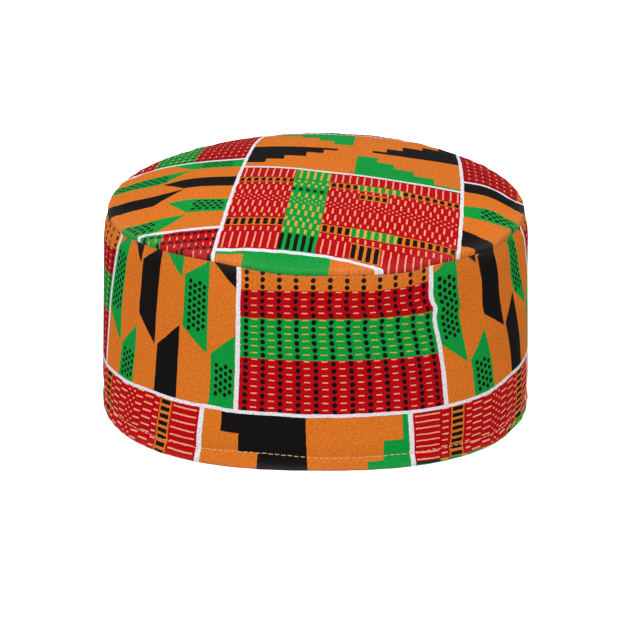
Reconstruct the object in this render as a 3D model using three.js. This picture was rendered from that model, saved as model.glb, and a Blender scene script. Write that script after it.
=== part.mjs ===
// Kufi hat: a soft, brimless round cap with a gently domed top panel sewn to an upright side band.
// Millimetres, +Z up. The rim rests on z = 0, the middle of the rim is the origin, the front faces -Y.
// The outline is egg-shaped, as a head is: a little longer behind its widest place than before it.
import * as THREE from "three";
import { mergeVertices } from "three/addons/utils/BufferGeometryUtils.js";

// Overall size
const halfWidth = 92; // middle to the outer face of the side band, left and right
const frontDepth = 92.6; // widest place to the outer face at the front
const backDepth = 105.4; // widest place to the outer face at the back
const bandHeight = 85.3; // floor to the seam around the crown panel, at the front
const domeRise = 11; // middle of the crown panel above that seam

// Cloth
const bandThickness = 2;
const crownThickness = 1.6;
const hemThickness = 1.4;
const clearance = 0.3; // between one piece of cloth and the next

// Edges
const foldThickness = 1.5; // cloth of the side band turned under at the rim
const foldRounding = 0.7; // outer corner of the rim and of the band's upper edge
const hemHeight = 11.5; // top of the turned-up hem above the floor
const stitchHeight = 6.3; // hem stitching above the floor
const seamAllowance = 8; // edge of the crown panel turned down inside the band
const lipRise = 1.4; // rounded edge of the crown panel above the seam

// Softness
const seamDroop = 2; // how far the seam sits lower at the left and right than at the front
const seamFall = 3.4; // how far the seam sits lower at the back than at the front
const seamWave = 1.9; // size of the seam's ups and downs
const foldDepth = 2.3; // size of the wall's soft folds
const domeDent = 1.2; // size of the crown panel's shallow hollows
const stitchPinch = 0.5; // how far the hem stitching draws the wall in

// Fineness
const segments = 96;

// How far the widest place lies in front of the middle of the rim
const widestPlace = (backDepth - frontDepth) / 2;

// Shape of the side band's outer face, floor to seam.
// height is a share of bandHeight, side of halfWidth, and deep of frontDepth and backDepth.
// squareness is 2 for an ellipse and more for a boxier outline.
const wallSections = [
  { height: 0.0, side: 0.997, deep: 1.0, squareness: 2.46 },
  { height: 0.15, side: 0.995, deep: 0.989, squareness: 2.36 },
  { height: 0.3, side: 0.992, deep: 0.979, squareness: 2.26 },
  { height: 0.56, side: 0.987, deep: 0.972, squareness: 2.12 },
  { height: 0.79, side: 0.983, deep: 0.967, squareness: 2.04 },
  { height: 0.91, side: 0.98, deep: 0.962, squareness: 2.02 },
  { height: 1.0, side: 0.954, deep: 0.957, squareness: 2.0 },
];

// Rises and dips of the seam round the hat. azimuth is in degrees from +X, turning towards +Y,
// and lift a share of seamWave.
const seamLifts = [
  { azimuth: -160, lift: 0.0 },
  { azimuth: -142, lift: 0.7 },
  { azimuth: -118, lift: 1.0 },
  { azimuth: -98, lift: -0.3 },
  { azimuth: -80, lift: -0.45 },
  { azimuth: -64, lift: -0.8 },
  { azimuth: -54, lift: 0.0 },
  { azimuth: -43, lift: -0.36 },
  { azimuth: -27, lift: -0.1 },
  { azimuth: 0, lift: 0.3 },
  { azimuth: 38, lift: 0.15 },
  { azimuth: 70, lift: 0.4 },
  { azimuth: 104, lift: 0.0 },
  { azimuth: 140, lift: -0.3 },
  { azimuth: 172, lift: -0.2 },
];

// Soft upright folds in the wall. azimuth and spread are in degrees, middle and reach are shares
// of bandHeight, and depth is a share of foldDepth, negative where the cloth stands out.
const wallFolds = [
  { azimuth: -59, spread: 3.6, middle: 0.9, reach: 0.24, depth: 0.5 },
  { azimuth: -52, spread: 4.5, middle: 0.84, reach: 0.28, depth: -0.35 },
  { azimuth: -43, spread: 4.2, middle: 0.9, reach: 0.3, depth: 0.55 },
  { azimuth: -35, spread: 4.2, middle: 0.8, reach: 0.3, depth: -0.3 },
  { azimuth: -30, spread: 3.5, middle: 0.02, reach: 0.16, depth: 0.3 },
  { azimuth: -24, spread: 5.0, middle: 0.86, reach: 0.26, depth: 0.5 },
  { azimuth: -100, spread: 9.0, middle: 0.55, reach: 0.4, depth: 0.2 },
  { azimuth: -128, spread: 8.0, middle: 0.7, reach: 0.35, depth: -0.2 },
  { azimuth: -152, spread: 8.0, middle: 0.6, reach: 0.4, depth: 0.3 },
  { azimuth: 12, spread: 9.0, middle: 0.6, reach: 0.4, depth: 0.4 },
  { azimuth: 52, spread: 8.0, middle: 0.8, reach: 0.35, depth: 0.45 },
  { azimuth: 88, spread: 7.0, middle: 0.5, reach: 0.5, depth: 0.35 },
  { azimuth: 126, spread: 9.0, middle: 0.75, reach: 0.35, depth: 0.4 },
  { azimuth: 164, spread: 8.0, middle: 0.45, reach: 0.4, depth: 0.3 },
];

// Shallow hollows in the crown panel. azimuth is in degrees, out and reach are shares of the way
// from the middle to the edge, and depth is a share of domeDent, negative where the cloth stands up.
const crownDents = [
  { azimuth: -60, out: 0.82, reach: 0.2, depth: 0.8 },
  { azimuth: -112, out: 0.8, reach: 0.24, depth: -0.4 },
  { azimuth: -20, out: 0.74, reach: 0.24, depth: -0.4 },
  { azimuth: 30, out: 0.6, reach: 0.3, depth: 0.5 },
  { azimuth: 110, out: 0.66, reach: 0.3, depth: -0.3 },
  { azimuth: 172, out: 0.7, reach: 0.28, depth: 0.6 },
];

// Main inks of the printed cotton
const orangeInk = new THREE.Color(0xd8782e);
const greenInk = new THREE.Color(0x119a3c);
const redInk = new THREE.Color(0xc30814);

// A value that runs smoothly through the rows of a table, from its first row to its last.
function along(rows, at, key, position) {
  const last = rows.length - 1;
  const k = THREE.MathUtils.clamp(rows.findIndex((row) => row[at] > position) - 1, 0, last - 1);
  const start = position >= rows[last][at] ? last - 1 : k;
  const span = rows[start + 1][at] - rows[start][at];
  const t = THREE.MathUtils.clamp((position - rows[start][at]) / span, 0, 1);
  const before = rows[Math.max(start - 1, 0)];
  const after = rows[Math.min(start + 2, last)];
  const slopeIn = (rows[start + 1][key] - before[key]) / (rows[start + 1][at] - before[at]);
  const slopeOut = (after[key] - rows[start][key]) / (after[at] - rows[start][at]);
  const t2 = t * t;
  const t3 = t2 * t;
  return (
    (2 * t3 - 3 * t2 + 1) * rows[start][key] +
    (t3 - 2 * t2 + t) * span * slopeIn +
    (3 * t2 - 2 * t3) * rows[start + 1][key] +
    (t3 - t2) * span * slopeOut
  );
}

// The seam lifts with a row added on each side, so that they run on round the full turn.
const firstLift = seamLifts[0];
const lastLift = seamLifts[seamLifts.length - 1];
const closedLifts = [
  { azimuth: lastLift.azimuth - 360, lift: lastLift.lift },
  ...seamLifts,
  { azimuth: firstLift.azimuth + 360, lift: firstLift.lift },
];

// The signed angle in degrees from one azimuth to another, the short way round.
function turn(from, to) {
  return THREE.MathUtils.euclideanModulo(to - from + 180, 360) - 180;
}

function bell(distance, spread) {
  return Math.exp(-0.5 * (distance / spread) ** 2);
}

// How far the seam stands above or below bandHeight at an azimuth in radians.
function seamLift(azimuth) {
  const degrees = turn(0, THREE.MathUtils.radToDeg(azimuth));
  const wave = seamWave * along(closedLifts, "azimuth", "lift", degrees);
  const backness = ((1 + Math.sin(azimuth)) / 2) ** 2;
  return wave - seamDroop * Math.cos(azimuth) ** 2 - seamFall * backness;
}

// Height of a point of the band. Only the upper part follows the seam, so the rim stays flat.
function bandLevel(azimuth, height) {
  return height + seamLift(azimuth) * (height / bandHeight) ** 3;
}

// Distance from the upright line through the widest place to the band's outer face.
function bandRadius(azimuth, height) {
  const share = height / bandHeight;
  const side = halfWidth * along(wallSections, "height", "side", share);
  const reach = Math.sin(azimuth) > 0 ? backDepth : frontDepth;
  const deep = reach * along(wallSections, "height", "deep", share);
  const power = along(wallSections, "height", "squareness", share);
  const acrossPart = (Math.abs(Math.cos(azimuth)) / side) ** power;
  const deepPart = (Math.abs(Math.sin(azimuth)) / deep) ** power;
  const degrees = THREE.MathUtils.radToDeg(azimuth);
  let drawnIn = stitchPinch * bell(height - stitchHeight, stitchHeight / 3);
  for (const fold of wallFolds) {
    const round = bell(turn(fold.azimuth, degrees), fold.spread);
    const up = bell(share - fold.middle, fold.reach / 2);
    drawnIn += foldDepth * fold.depth * round * up;
  }
  return (acrossPart + deepPart) ** (-1 / power) - drawnIn;
}

// A point of the band: inset is measured inwards from its outer face.
function onBand(azimuth, height, inset) {
  const radius = bandRadius(azimuth, height) - inset;
  return new THREE.Vector3(
    radius * Math.cos(azimuth),
    radius * Math.sin(azimuth) - widestPlace,
    bandLevel(azimuth, height),
  );
}

// A point beside the seam, at a rise above it.
function besideSeam(azimuth, rise, inset) {
  const point = onBand(azimuth, bandHeight, inset);
  point.z += rise;
  return point;
}

// A point of the crown panel's top face or, lower by a depth, of its underside.
// out is 0 at the middle of the panel and 1 at the band's outer face.
function onCrown(azimuth, out, depth) {
  const radius = out * bandRadius(azimuth, bandHeight);
  const x = radius * Math.cos(azimuth);
  const y = radius * Math.sin(azimuth);
  let rise = lipRise + (domeRise - lipRise) * (1 - out * out);
  for (const dent of crownDents) {
    const towards = THREE.MathUtils.degToRad(dent.azimuth);
    const away = Math.hypot(
      x / halfWidth - dent.out * Math.cos(towards),
      y / frontDepth - dent.out * Math.sin(towards),
    );
    rise -= domeDent * dent.depth * bell(away, dent.reach / 2) * (1 - out ** 8);
  }
  const level = bandHeight + rise + seamLift(azimuth) * out ** 4;
  return new THREE.Vector3(x, y - widestPlace, level - depth);
}

// A closed skin through a list of stations. Each station gives its point at an azimuth, and a
// station on the axis gives the same point at each azimuth.
// The skin runs from the first station to the last and, if it is a tube, back to the first.
function skin(stations, isTube) {
  const rows = isTube ? stations.length + 1 : stations.length;
  const profile = Array.from({ length: rows }, (_, row) => new THREE.Vector2(1, row));
  const geometry = new THREE.LatheGeometry(profile, segments);
  const position = geometry.getAttribute("position");
  for (let i = 0; i < position.count; i += 1) {
    const row = Math.round(position.getY(i)) % stations.length;
    const column = Math.floor(i / rows) % segments;
    const point = stations[row]((column * 2 * Math.PI) / segments);
    position.setXYZ(i, point.x, point.y, point.z);
  }
  geometry.deleteAttribute("normal");
  geometry.deleteAttribute("uv");
  const merged = mergeVertices(geometry, 1e-4);
  merged.setIndex(facesWithArea(merged.getIndex().array));
  merged.computeVertexNormals();
  return merged;
}

// The triangles whose three corners differ, which leaves out those that shrink away on the axis.
function facesWithArea(corners) {
  const kept = [];
  for (let i = 0; i < corners.length; i += 3) {
    const [a, b, c] = corners.slice(i, i + 3);
    if (a !== b && b !== c && c !== a) kept.push(a, b, c);
  }
  return kept;
}

function cloth(name, geometry, colour) {
  const material = new THREE.MeshStandardMaterial({ color: colour, roughness: 0.9, metalness: 0 });
  const mesh = new THREE.Mesh(geometry, material);
  mesh.name = name;
  return mesh;
}

// Heights of the rows of the band's faces, shared by what lies against it.
const allowanceFoot = bandHeight - seamAllowance;
const foldTop = foldThickness;
const hemFoot = foldTop + clearance;
const shares = (from, to, list) => list.map((share) => from + (to - from) * share);
const outerHeights = [
  foldRounding * 2,
  stitchHeight / 2,
  stitchHeight,
  hemHeight,
  ...shares(hemHeight, allowanceFoot, [0.14, 0.28, 0.42, 0.56, 0.7, 0.85, 1]),
  ...shares(allowanceFoot, bandHeight - foldRounding * 2, [0.5, 1]),
];
const innerHeights = [
  ...shares(allowanceFoot, bandHeight, [0, 0.5]),
  ...shares(hemHeight, allowanceFoot, [0, 0.28, 0.56, 0.85]),
  stitchHeight,
].sort((a, b) => b - a);

// The side band: an upright wall whose lower edge is turned under into a flat fold.
function sideBand() {
  const foldInset = bandThickness + clearance + hemThickness;
  const at = (height, inset) => (azimuth) => onBand(azimuth, height, inset);
  return skin(
    [
      at(0, foldRounding),
      ...outerHeights.map((height) => at(height, 0)),
      at(bandHeight, foldRounding),
      at(bandHeight, bandThickness),
      ...innerHeights.map((height) => at(height, bandThickness)),
      at(foldTop, bandThickness),
      at(foldTop, foldInset),
      at(0, foldInset),
    ],
    true,
  );
}

// The hem: the turned-up edge that stands on the fold, close inside the wall.
function hemTurnUp() {
  const inset = bandThickness + clearance;
  const heights = [hemFoot, stitchHeight, hemHeight];
  const wall = heights.map((height) => (azimuth) => onBand(azimuth, height, inset));
  const inside = heights.map((height) => (azimuth) => onBand(azimuth, height, inset + hemThickness));
  return skin([...wall, ...inside.reverse()], true);
}

// The crown panel: a shallow dome with a rounded edge, whose allowance is turned down in the band.
function crownPanel() {
  const allowanceInset = bandThickness + clearance;
  const innerInset = allowanceInset + crownThickness;
  const panelOuts = [0.965, 0.92, 0.84, 0.74, 0.62, 0.48, 0.32, 0.16];
  const top = (out) => (azimuth) => onCrown(azimuth, out, 0);
  const under = (out) => (azimuth) => onCrown(azimuth, out, crownThickness);
  const edge = (rise, inset) => (azimuth) => besideSeam(azimuth, rise, inset);
  const allowance = (height, inset) => (azimuth) => onBand(azimuth, height, inset);
  const heights = [allowanceFoot, allowanceFoot + seamAllowance / 2];
  return skin(
    [
      ...heights.map((height) => allowance(height, allowanceInset)),
      edge(clearance, allowanceInset),
      edge(clearance, foldRounding),
      edge(clearance + lipRise / 3, foldRounding / 4),
      edge(lipRise, foldRounding),
      ...panelOuts.map(top),
      () => onCrown(0, 0, 0),
    ].concat(
      () => onCrown(0, 0, crownThickness),
      panelOuts.slice(1).reverse().map(under),
      heights.reverse().map((height) => allowance(height, innerInset)),
    ),
    true,
  );
}

const hat = new THREE.Group();
hat.add(cloth("side_band", sideBand(), orangeInk));
hat.add(cloth("hem_turn_up", hemTurnUp(), redInk));
hat.add(cloth("crown_panel", crownPanel(), greenInk));

export default hat;
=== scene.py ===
import math

import bpy
import numpy as np
from mathutils import Matrix, Vector
from mathutils.bvhtree import BVHTree


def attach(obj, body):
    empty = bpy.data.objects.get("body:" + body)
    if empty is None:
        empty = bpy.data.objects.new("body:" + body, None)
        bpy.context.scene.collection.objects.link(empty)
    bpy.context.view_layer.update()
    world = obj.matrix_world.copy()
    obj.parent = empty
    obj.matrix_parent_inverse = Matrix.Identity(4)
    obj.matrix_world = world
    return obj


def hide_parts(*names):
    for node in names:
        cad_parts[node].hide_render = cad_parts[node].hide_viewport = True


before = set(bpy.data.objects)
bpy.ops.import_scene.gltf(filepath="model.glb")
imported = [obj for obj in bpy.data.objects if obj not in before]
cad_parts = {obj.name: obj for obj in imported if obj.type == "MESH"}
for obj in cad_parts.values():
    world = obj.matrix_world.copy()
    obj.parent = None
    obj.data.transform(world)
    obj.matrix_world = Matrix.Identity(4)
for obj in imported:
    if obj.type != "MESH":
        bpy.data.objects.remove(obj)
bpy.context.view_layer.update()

# Lengths are in millimetres until a mesh is made, and MM turns them into metres.
MM = 0.001

# The hat, as the frame has it
WIDEST_PLACE = 6.4  # how far the widest place lies in front of the middle of the rim
FRAME_COLUMNS = 96  # upright lines of the frame's faces round the hat

# Cloth
WALL = 1.9  # thickness of the side wall, two layers of cloth
PANEL = 1.5  # thickness of the crown panel
HEM = 1.3  # thickness of the turned-up hem
RIM_ROUNDING = 1.1  # outer roundness of the folded rim
SEAM_ROUNDING = 0.1  # roundness of the wall's upper edge, where it turns in at the seam
WALL_TOP = 0.988  # share of the way up at which the wall's outer face meets the crown's edge
HEM_TOP = 11.4  # top of the turned-up hem above the floor
GAP = 0.35  # between the wall and the cloth inside it
SEAM_HEIGHT = 85.0  # about the seam's height at the front, which turns heights into shares
STITCH_PITCH = 2.6  # one stitch of the hem to the next
ALLOWANCE = 7.8  # edge of the crown panel turned down inside the wall
THREAD = 0.42  # one thread of the weave to the next

# Fineness
COLUMNS = 600  # upright lines round each piece

# Printed strips: each strip repeats along its length, and the two kinds lie side by side
PITCH = 2.97  # one row of the print to the next
DOT_STRIP = 30 * PITCH
DASH_STRIP = 33 * PITCH
DASH_PITCH = 3.12  # one row of dashes to the next
BOTH_STRIPS = DOT_STRIP + DASH_STRIP
ARROW_CELL = 84.0  # length of the cell of slanted bars, along the dotted strip
DOT_CELL = 88.6  # length of the cell of dotted stripes
STEP_CELL = 88.5  # length of the cell of stairs, along the dashed strip
DASH_CELL = 88.0  # length of the cell of dashes
CROSS_LINE = 2.1  # width of the white lines across the strips
LONG_WHITE = 1.5  # width of the white lines along the strips
INKS = {
    "orange": (0.740, 0.185, 0.018),
    "black": (0.007, 0.006, 0.006),
    "green": (0.004, 0.330, 0.048),
    "red": (0.500, 0.002, 0.006),
    "white": (0.830, 0.820, 0.880),
    "peach": (0.930, 0.410, 0.240),
    "yellow": (0.720, 0.410, 0.050),
}


# Curves through samples


def around(samples, columns):
    """The same closed curves with more points round the hat."""
    waves = np.fft.rfft(samples, axis=0)
    return np.fft.irfft(waves, columns, axis=0) * columns / len(samples)


def smooth(places, values, wanted):
    """A smooth curve through values at places, along the first axis."""
    places = np.asarray(places, float)
    values = np.asarray(values, float)
    wanted = np.clip(np.asarray(wanted, float), places[0], places[-1])
    slopes = np.gradient(values, places, axis=0)
    k = np.clip(np.searchsorted(places, wanted, side="right") - 1, 0, len(places) - 2)
    span = places[k + 1] - places[k]
    t = (wanted - places[k]) / span
    shape = t.shape + (1,) * (values.ndim - 1)
    t = t.reshape(shape)
    span = span.reshape(shape)
    return (
        (2 * t**3 - 3 * t**2 + 1) * values[k]
        + (t**3 - 2 * t**2 + t) * span * slopes[k]
        + (3 * t**2 - 2 * t**3) * values[k + 1]
        + (t**3 - t**2) * span * slopes[k + 1]
    )


def bell(distance, spread):
    return np.exp(-0.5 * (distance / spread) ** 2)


def ripple(angle, waves, seed):
    """A gentle closed wave round the hat, from a few waves of nearly the same length."""
    chance = np.random.default_rng(seed)
    total = np.zeros_like(angle)
    for wave in waves:
        total += chance.uniform(0.5, 1.0) * np.cos(wave * angle + chance.uniform(0, 2 * math.pi))
    return total / len(waves)


# The frame's faces, measured by rays


def tree_of(node):
    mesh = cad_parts[node].data
    corners = [tuple(vertex.co / MM) for vertex in mesh.vertices]
    faces = [tuple(face.vertices) for face in mesh.polygons]
    return BVHTree.FromPolygons(corners, faces), np.array(corners)


band_tree, band_corners = tree_of("side_band")
crown_tree, crown_corners = tree_of("crown_panel")
frame_angles = np.arange(FRAME_COLUMNS) * 2 * math.pi / FRAME_COLUMNS


def column_of(corners):
    angle = np.arctan2(corners[:, 1] + WIDEST_PLACE, corners[:, 0])
    return np.round(angle / (2 * math.pi) * FRAME_COLUMNS).astype(int) % FRAME_COLUMNS


band_column = column_of(band_corners)
crown_column = column_of(crown_corners)
crown_away = np.hypot(crown_corners[:, 0], crown_corners[:, 1] + WIDEST_PLACE)
seam_level = np.array([band_corners[band_column == k, 2].max() for k in range(FRAME_COLUMNS)])
seam_reach = np.array(
    [crown_away[(crown_column == k) & (crown_away > 60)].max() for k in range(FRAME_COLUMNS)]
)


def wall_reach(angle, level):
    """Distance from the upright line through the widest place to the wall's outer face."""
    heading = Vector((math.cos(angle), math.sin(angle), 0))
    start = heading * 200 + Vector((0, -WIDEST_PLACE, level))
    hit = band_tree.ray_cast(start, -heading)[0]
    return math.hypot(hit.x, hit.y + WIDEST_PLACE)


def crown_height(angle, away):
    start = Vector((away * math.cos(angle), away * math.sin(angle) - WIDEST_PLACE, 200))
    return crown_tree.ray_cast(start, Vector((0, 0, -1)))[0].z


wall_shares = np.array(
    [0.018, 0.037, 0.075, 0.135, 0.23, 0.32, 0.41, 0.5, 0.6, 0.7, 0.8, 0.88, 0.94, 0.975]
)
wall_samples = np.array(
    [
        [wall_reach(angle, share * level) for share in wall_shares]
        for angle, level in zip(frame_angles, seam_level)
    ]
)
crown_outs = np.array([0.03, 0.16, 0.32, 0.48, 0.62, 0.74, 0.84, 0.92, 0.965])
crown_samples = np.array(
    [
        [crown_height(angle, out * reach) for out in crown_outs]
        for angle, reach in zip(frame_angles, seam_reach)
    ]
)

angles = np.arange(COLUMNS) * 2 * math.pi / COLUMNS
fine_wall = around(wall_samples, COLUMNS)
fine_seam = around(seam_level, COLUMNS)
fine_reach = around(seam_reach, COLUMNS)
fine_crown = around(crown_samples, COLUMNS)
front_turn = (np.degrees(angles) + 270) % 360 - 180  # degrees from the front, to the right


# The wall


def ring(radius, height):
    """Points of one closed row at those radii and heights."""
    return np.stack(
        [radius * np.cos(angles), radius * np.sin(angles) - WIDEST_PLACE, height + 0 * angles],
        axis=1,
    )


# Arc lengths from the front along the wall 26 mm up, to the right, and again from back to back
arc_radius = smooth(wall_shares, fine_wall.T, np.array([0.3]))[0]
arc_points = ring(arc_radius, 26.0)[:, :2]
step_lengths = np.hypot(*(np.roll(arc_points, -1, axis=0) - arc_points).T)
front_column = int(np.argmin(np.abs(front_turn)))
back_column = int(np.argmin(np.abs(np.abs(front_turn) - 180)))
arc_right = np.concatenate([[0], np.cumsum(np.roll(step_lengths, -front_column))])
whole_round = arc_right[-1]
arcs = arc_right[(np.arange(COLUMNS + 1) + back_column - front_column) % COLUMNS]
arcs[: COLUMNS // 2] -= whole_round
arc_of_column = np.roll(arcs[:-1], back_column)
from_back = np.minimum(arc_of_column - arcs[0], arcs[0] + whole_round - arc_of_column)

# Height of the hem's stitch line at arc lengths from the front
STITCH_LINE = [
    (-300, 6.0),
    (-120, 5.8),
    (-93, 5.8),
    (-68, 6.2),
    (-50, 6.3),
    (-23, 7.2),
    (7, 5.5),
    (29, 5.9),
    (52, 5.9),
    (82, 4.9),
    (120, 5.6),
    (300, 6.0),
]


def from_table(rows, at):
    """Smooth values of each column of a table, whose first column is the place."""
    return smooth([row[0] for row in rows], [row[1:] for row in rows], at)


stitch_level = from_table(STITCH_LINE, arc_of_column)[:, 0]


def wall_radius(share):
    """Radius of the wall's outer face at each angle, for one share of the way up to the seam."""
    radius = smooth(wall_shares, fine_wall.T, np.array([share]))[0]
    height = share * fine_seam
    below_seam = fine_seam - height
    pucker = ripple(angles, (29, 37, 46, 58), 3) * 0.42
    radius = radius + pucker * bell(below_seam - 5, 4.5)
    gather = ripple(angles, (41, 53, 67, 83), 5) * 0.3
    radius = radius + gather * bell(height - stitch_level * 0.4, 3.0)
    radius = radius - 0.35 * bell(height - stitch_level, 0.8)
    ease = ripple(angles, (5, 8, 13, 19), 8) * 0.35
    radius = radius - 0.7 * bell(from_back, 0.9) + 0.25 * bell(from_back - 3.2, 1.3)
    return radius + ease * bell(share - 0.5, 0.22)


def wall_ring(share, inset):
    return ring(wall_radius(share) - inset, share * fine_seam)


outer_shares = np.concatenate(
    [[0.016, 0.026, 0.037], np.linspace(0.05, 0.1, 8), np.linspace(0.115, WALL_TOP, 70)]
)
inner_shares = np.concatenate([np.linspace(0.975, 0.14, 26), [0.1, 0.06, 0.024]])
fold_inset = WALL + GAP + HEM


def wall_rows():
    """Rows of the wall from the rim's outer rounding up the outside, over the seam, down the inside
    and back under the fold, each with its share of the way up and the side of the cloth it is on."""
    rows = []
    foot = wall_radius(0.016)
    for turn in (80, 60, 40, 20):
        lean = math.radians(turn)
        inset = RIM_ROUNDING * (1 - math.cos(lean))
        rise = RIM_ROUNDING * (1 - math.sin(lean))
        rows.append((ring(foot - inset, rise + 0.03), rise / SEAM_HEIGHT, "out"))
    for share in outer_shares:
        rows.append((wall_ring(share, 0), share, "out"))
    top = wall_radius(WALL_TOP)
    for turn in (25, 50, 75):
        lean = math.radians(turn)
        inset = SEAM_ROUNDING * (1 - math.cos(lean))
        rise = SEAM_ROUNDING * math.sin(lean)
        rows.append((ring(top - inset, WALL_TOP * fine_seam + rise), WALL_TOP + rise / SEAM_HEIGHT, "out"))
    rows.append((ring(top - WALL, WALL_TOP * fine_seam), WALL_TOP, "in"))
    for share in inner_shares:
        rows.append((wall_ring(share, WALL), share, "in"))
    rows.append((ring(foot - WALL - 0.3, 1.5), 0.017, "in"))
    rows.append((ring(foot - fold_inset + 0.5, 1.5), 0.017, "in"))
    rows.append((ring(foot - fold_inset, 1.0), 0.012, "under"))
    rows.append((ring(foot - fold_inset + 0.15, 0.35), 0.004, "under"))
    rows.append((ring(foot - fold_inset + 0.6, 0.03), 0.0, "under"))
    return rows


# Height of the long white line of the wall at arc lengths from the front
LONG_LINE = [
    (-300, 24.3),
    (-200, 22.4),
    (-140, 20.6),
    (-125, 20.8),
    (-111, 22.2),
    (-103, 22.9),
    (-96, 23.1),
    (-89, 23.5),
    (-81, 24.3),
    (-75, 24.7),
    (-63, 24.5),
    (-53, 24.4),
    (-42, 24.6),
    (-35, 24.2),
    (-18, 24.2),
    (-6, 23.9),
    (14, 23.9),
    (31, 23.8),
    (44, 23.4),
    (63, 23.1),
    (74, 23.2),
    (81, 23.4),
    (88.6, 24.1),
    (98, 24.9),
    (108, 24.6),
    (119, 24.4),
    (200, 24.0),
    (300, 24.3),
]

# How much closer the rows lie below the long line, at arc lengths from the front
SQUEEZE_PLACES = (-300, -60, -40, 0, 34, 42, 57, 74, 85, 95, 102, 300)
SQUEEZE = (1.015, 1.015, 1.0, 1.02, 1.1, 1.19, 1.18, 1.16, 1.11, 1.12, 1.18, 1.18)

# Arc lengths at which these places of the dotted strip lie, at heights up the wall. The cloth is
# gathered at the seam, so it is narrower there.
STRIP_PLACES = (0, 14.9, 27.2, 28.8, 56.6, 70.5, 84.0, 172.6, 201.4, 229.2, 256.6)
STRIP_KNOTS = [
    (0, -118.4, -99.9, -87.2, -86.4, -58.6, -44.8, -33.0, 56.5, 86.5, 114.5, 143.0),
    (24, -118.2, -99.8, -87.1, -86.4, -58.6, -44.7, -32.9, 56.2, 86.0, 114.2, 143.0),
    (38, -117.4, -99.2, -86.9, -86.3, -58.6, -44.3, -32.7, 55.5, 84.8, 113.3, 142.0),
    (52, -116.0, -100.1, -87.3, -86.2, -58.5, -44.6, -32.6, 53.7, 81.3, 109.5, 138.0),
    (61.5, -113.3, -99.1, -87.4, -85.9, -58.4, -44.6, -32.6, 52.0, 79.7, 106.7, 131.5),
    (65.7, -112.0, -98.3, -87.0, -85.5, -58.3, -44.6, -32.6, 52.6, 80.0, 105.6, 129.0),
    (69, -110.7, -97.5, -86.6, -85.2, -58.3, -44.6, -32.7, 51.1, 80.3, 104.9, 127.5),
    (77, -108.3, -96.0, -85.8, -84.5, -58.2, -44.5, -32.5, 51.2, 79.5, 103.9, 124.6),
    (88, -106.0, -94.6, -85.2, -84.0, -58.0, -44.6, -32.7, 51.8, 79.2, 103.5, 121.5),
]

# Arc lengths at which these places of the dashed strip lie, at the rim and at the long line
LOWER_PLACES = (-69.6, -40.9, -21.6, -14.4, 0, 45.55, 88.5, 106.9, 114.9, 135.6, 154.9)
LOWER_KNOTS = [
    (0, -115.8, -90.0, -69.5, -64.3, -48.4, -2.9, 40.0, 56.0, 62.5, 81.0, 101.7),
    (24, -114.5, -86.0, -67.5, -62.3, -47.3, -4.0, 39.3, 58.9, 65.4, 86.0, 105.4),
]

# How much lower than its even place the print lies, at arc lengths and at heights up the wall
SAG_HEIGHTS = (24, 40, 60, 80)
SAGS = [
    (-300, 0.0, 0.0, 0.0, 0.0),
    (-150, 0.0, 0.5, 0.8, 0.8),
    (-120, 0.0, 0.4, 1.2, 0.8),
    (-101, 0.0, 1.9, 1.0, 0.0),
    (-88, 0.0, 1.8, 1.3, 0.6),
    (-74, 0.0, 2.3, 1.5, 1.6),
    (-58, 0.0, 0.6, 0.7, 1.8),
    (-45, 0.0, -0.4, 0.8, 2.2),
    (-28, 0.0, 0.0, 1.1, 1.3),
    (0, 0.0, 0.0, 0.0, 0.0),
    (30, 0.0, 0.2, 0.5, 0.8),
    (50, 0.0, 0.3, 0.9, -0.6),
    (70, 0.0, 0.5, 0.2, -1.6),
    (85, 0.0, 0.0, -1.2, -2.6),
    (110, 0.0, -1.0, -1.5, -2.0),
    (160, 0.0, 0.0, 0.0, 0.0),
    (300, 0.0, 0.0, 0.0, 0.0),
]


def place_along(knots, places, here):
    """Cloth places of points: straight between the knots, and at full width beyond them."""
    places = np.asarray(places, float)
    last = len(places) - 1
    cell = np.clip((here[:, None] > knots).sum(axis=1) - 1, 0, last - 1)
    row = np.arange(len(here))
    low = knots[row, cell]
    high = knots[row, cell + 1]
    inside = places[cell] + (places[cell + 1] - places[cell]) * (here - low) / (high - low)
    before = places[0] + here - knots[:, 0]
    after = places[last] + here - knots[:, last]
    return np.where(here < knots[:, 0], before, np.where(here > knots[:, last], after, inside))


def wall_cloth(height):
    """Cloth places of the wall: along the dotted strip, along the dashed strip, and across."""
    line = from_table(LONG_LINE, arcs)[:, 0]
    sags = from_table(SAGS, arcs)
    share = np.clip((height - SAG_HEIGHTS[0]) / (SAG_HEIGHTS[-1] - SAG_HEIGHTS[0]), 0, 1)
    spots = share * (SAG_HEIGHTS[-1] - SAG_HEIGHTS[0]) + SAG_HEIGHTS[0]
    sag = np.array([np.interp(spot, SAG_HEIGHTS, row) for spot, row in zip(spots, sags)])
    squeeze = np.where(height < line, np.interp(arcs, SQUEEZE_PLACES, SQUEEZE), 1.0)
    across = (height - line) * squeeze + sag
    along_dots = place_along(from_table(STRIP_KNOTS, height), STRIP_PLACES, arcs)
    along_dashes = place_along(from_table(LOWER_KNOTS, height), LOWER_PLACES, arcs)
    return along_dots, along_dashes, across


# Making meshes


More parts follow.
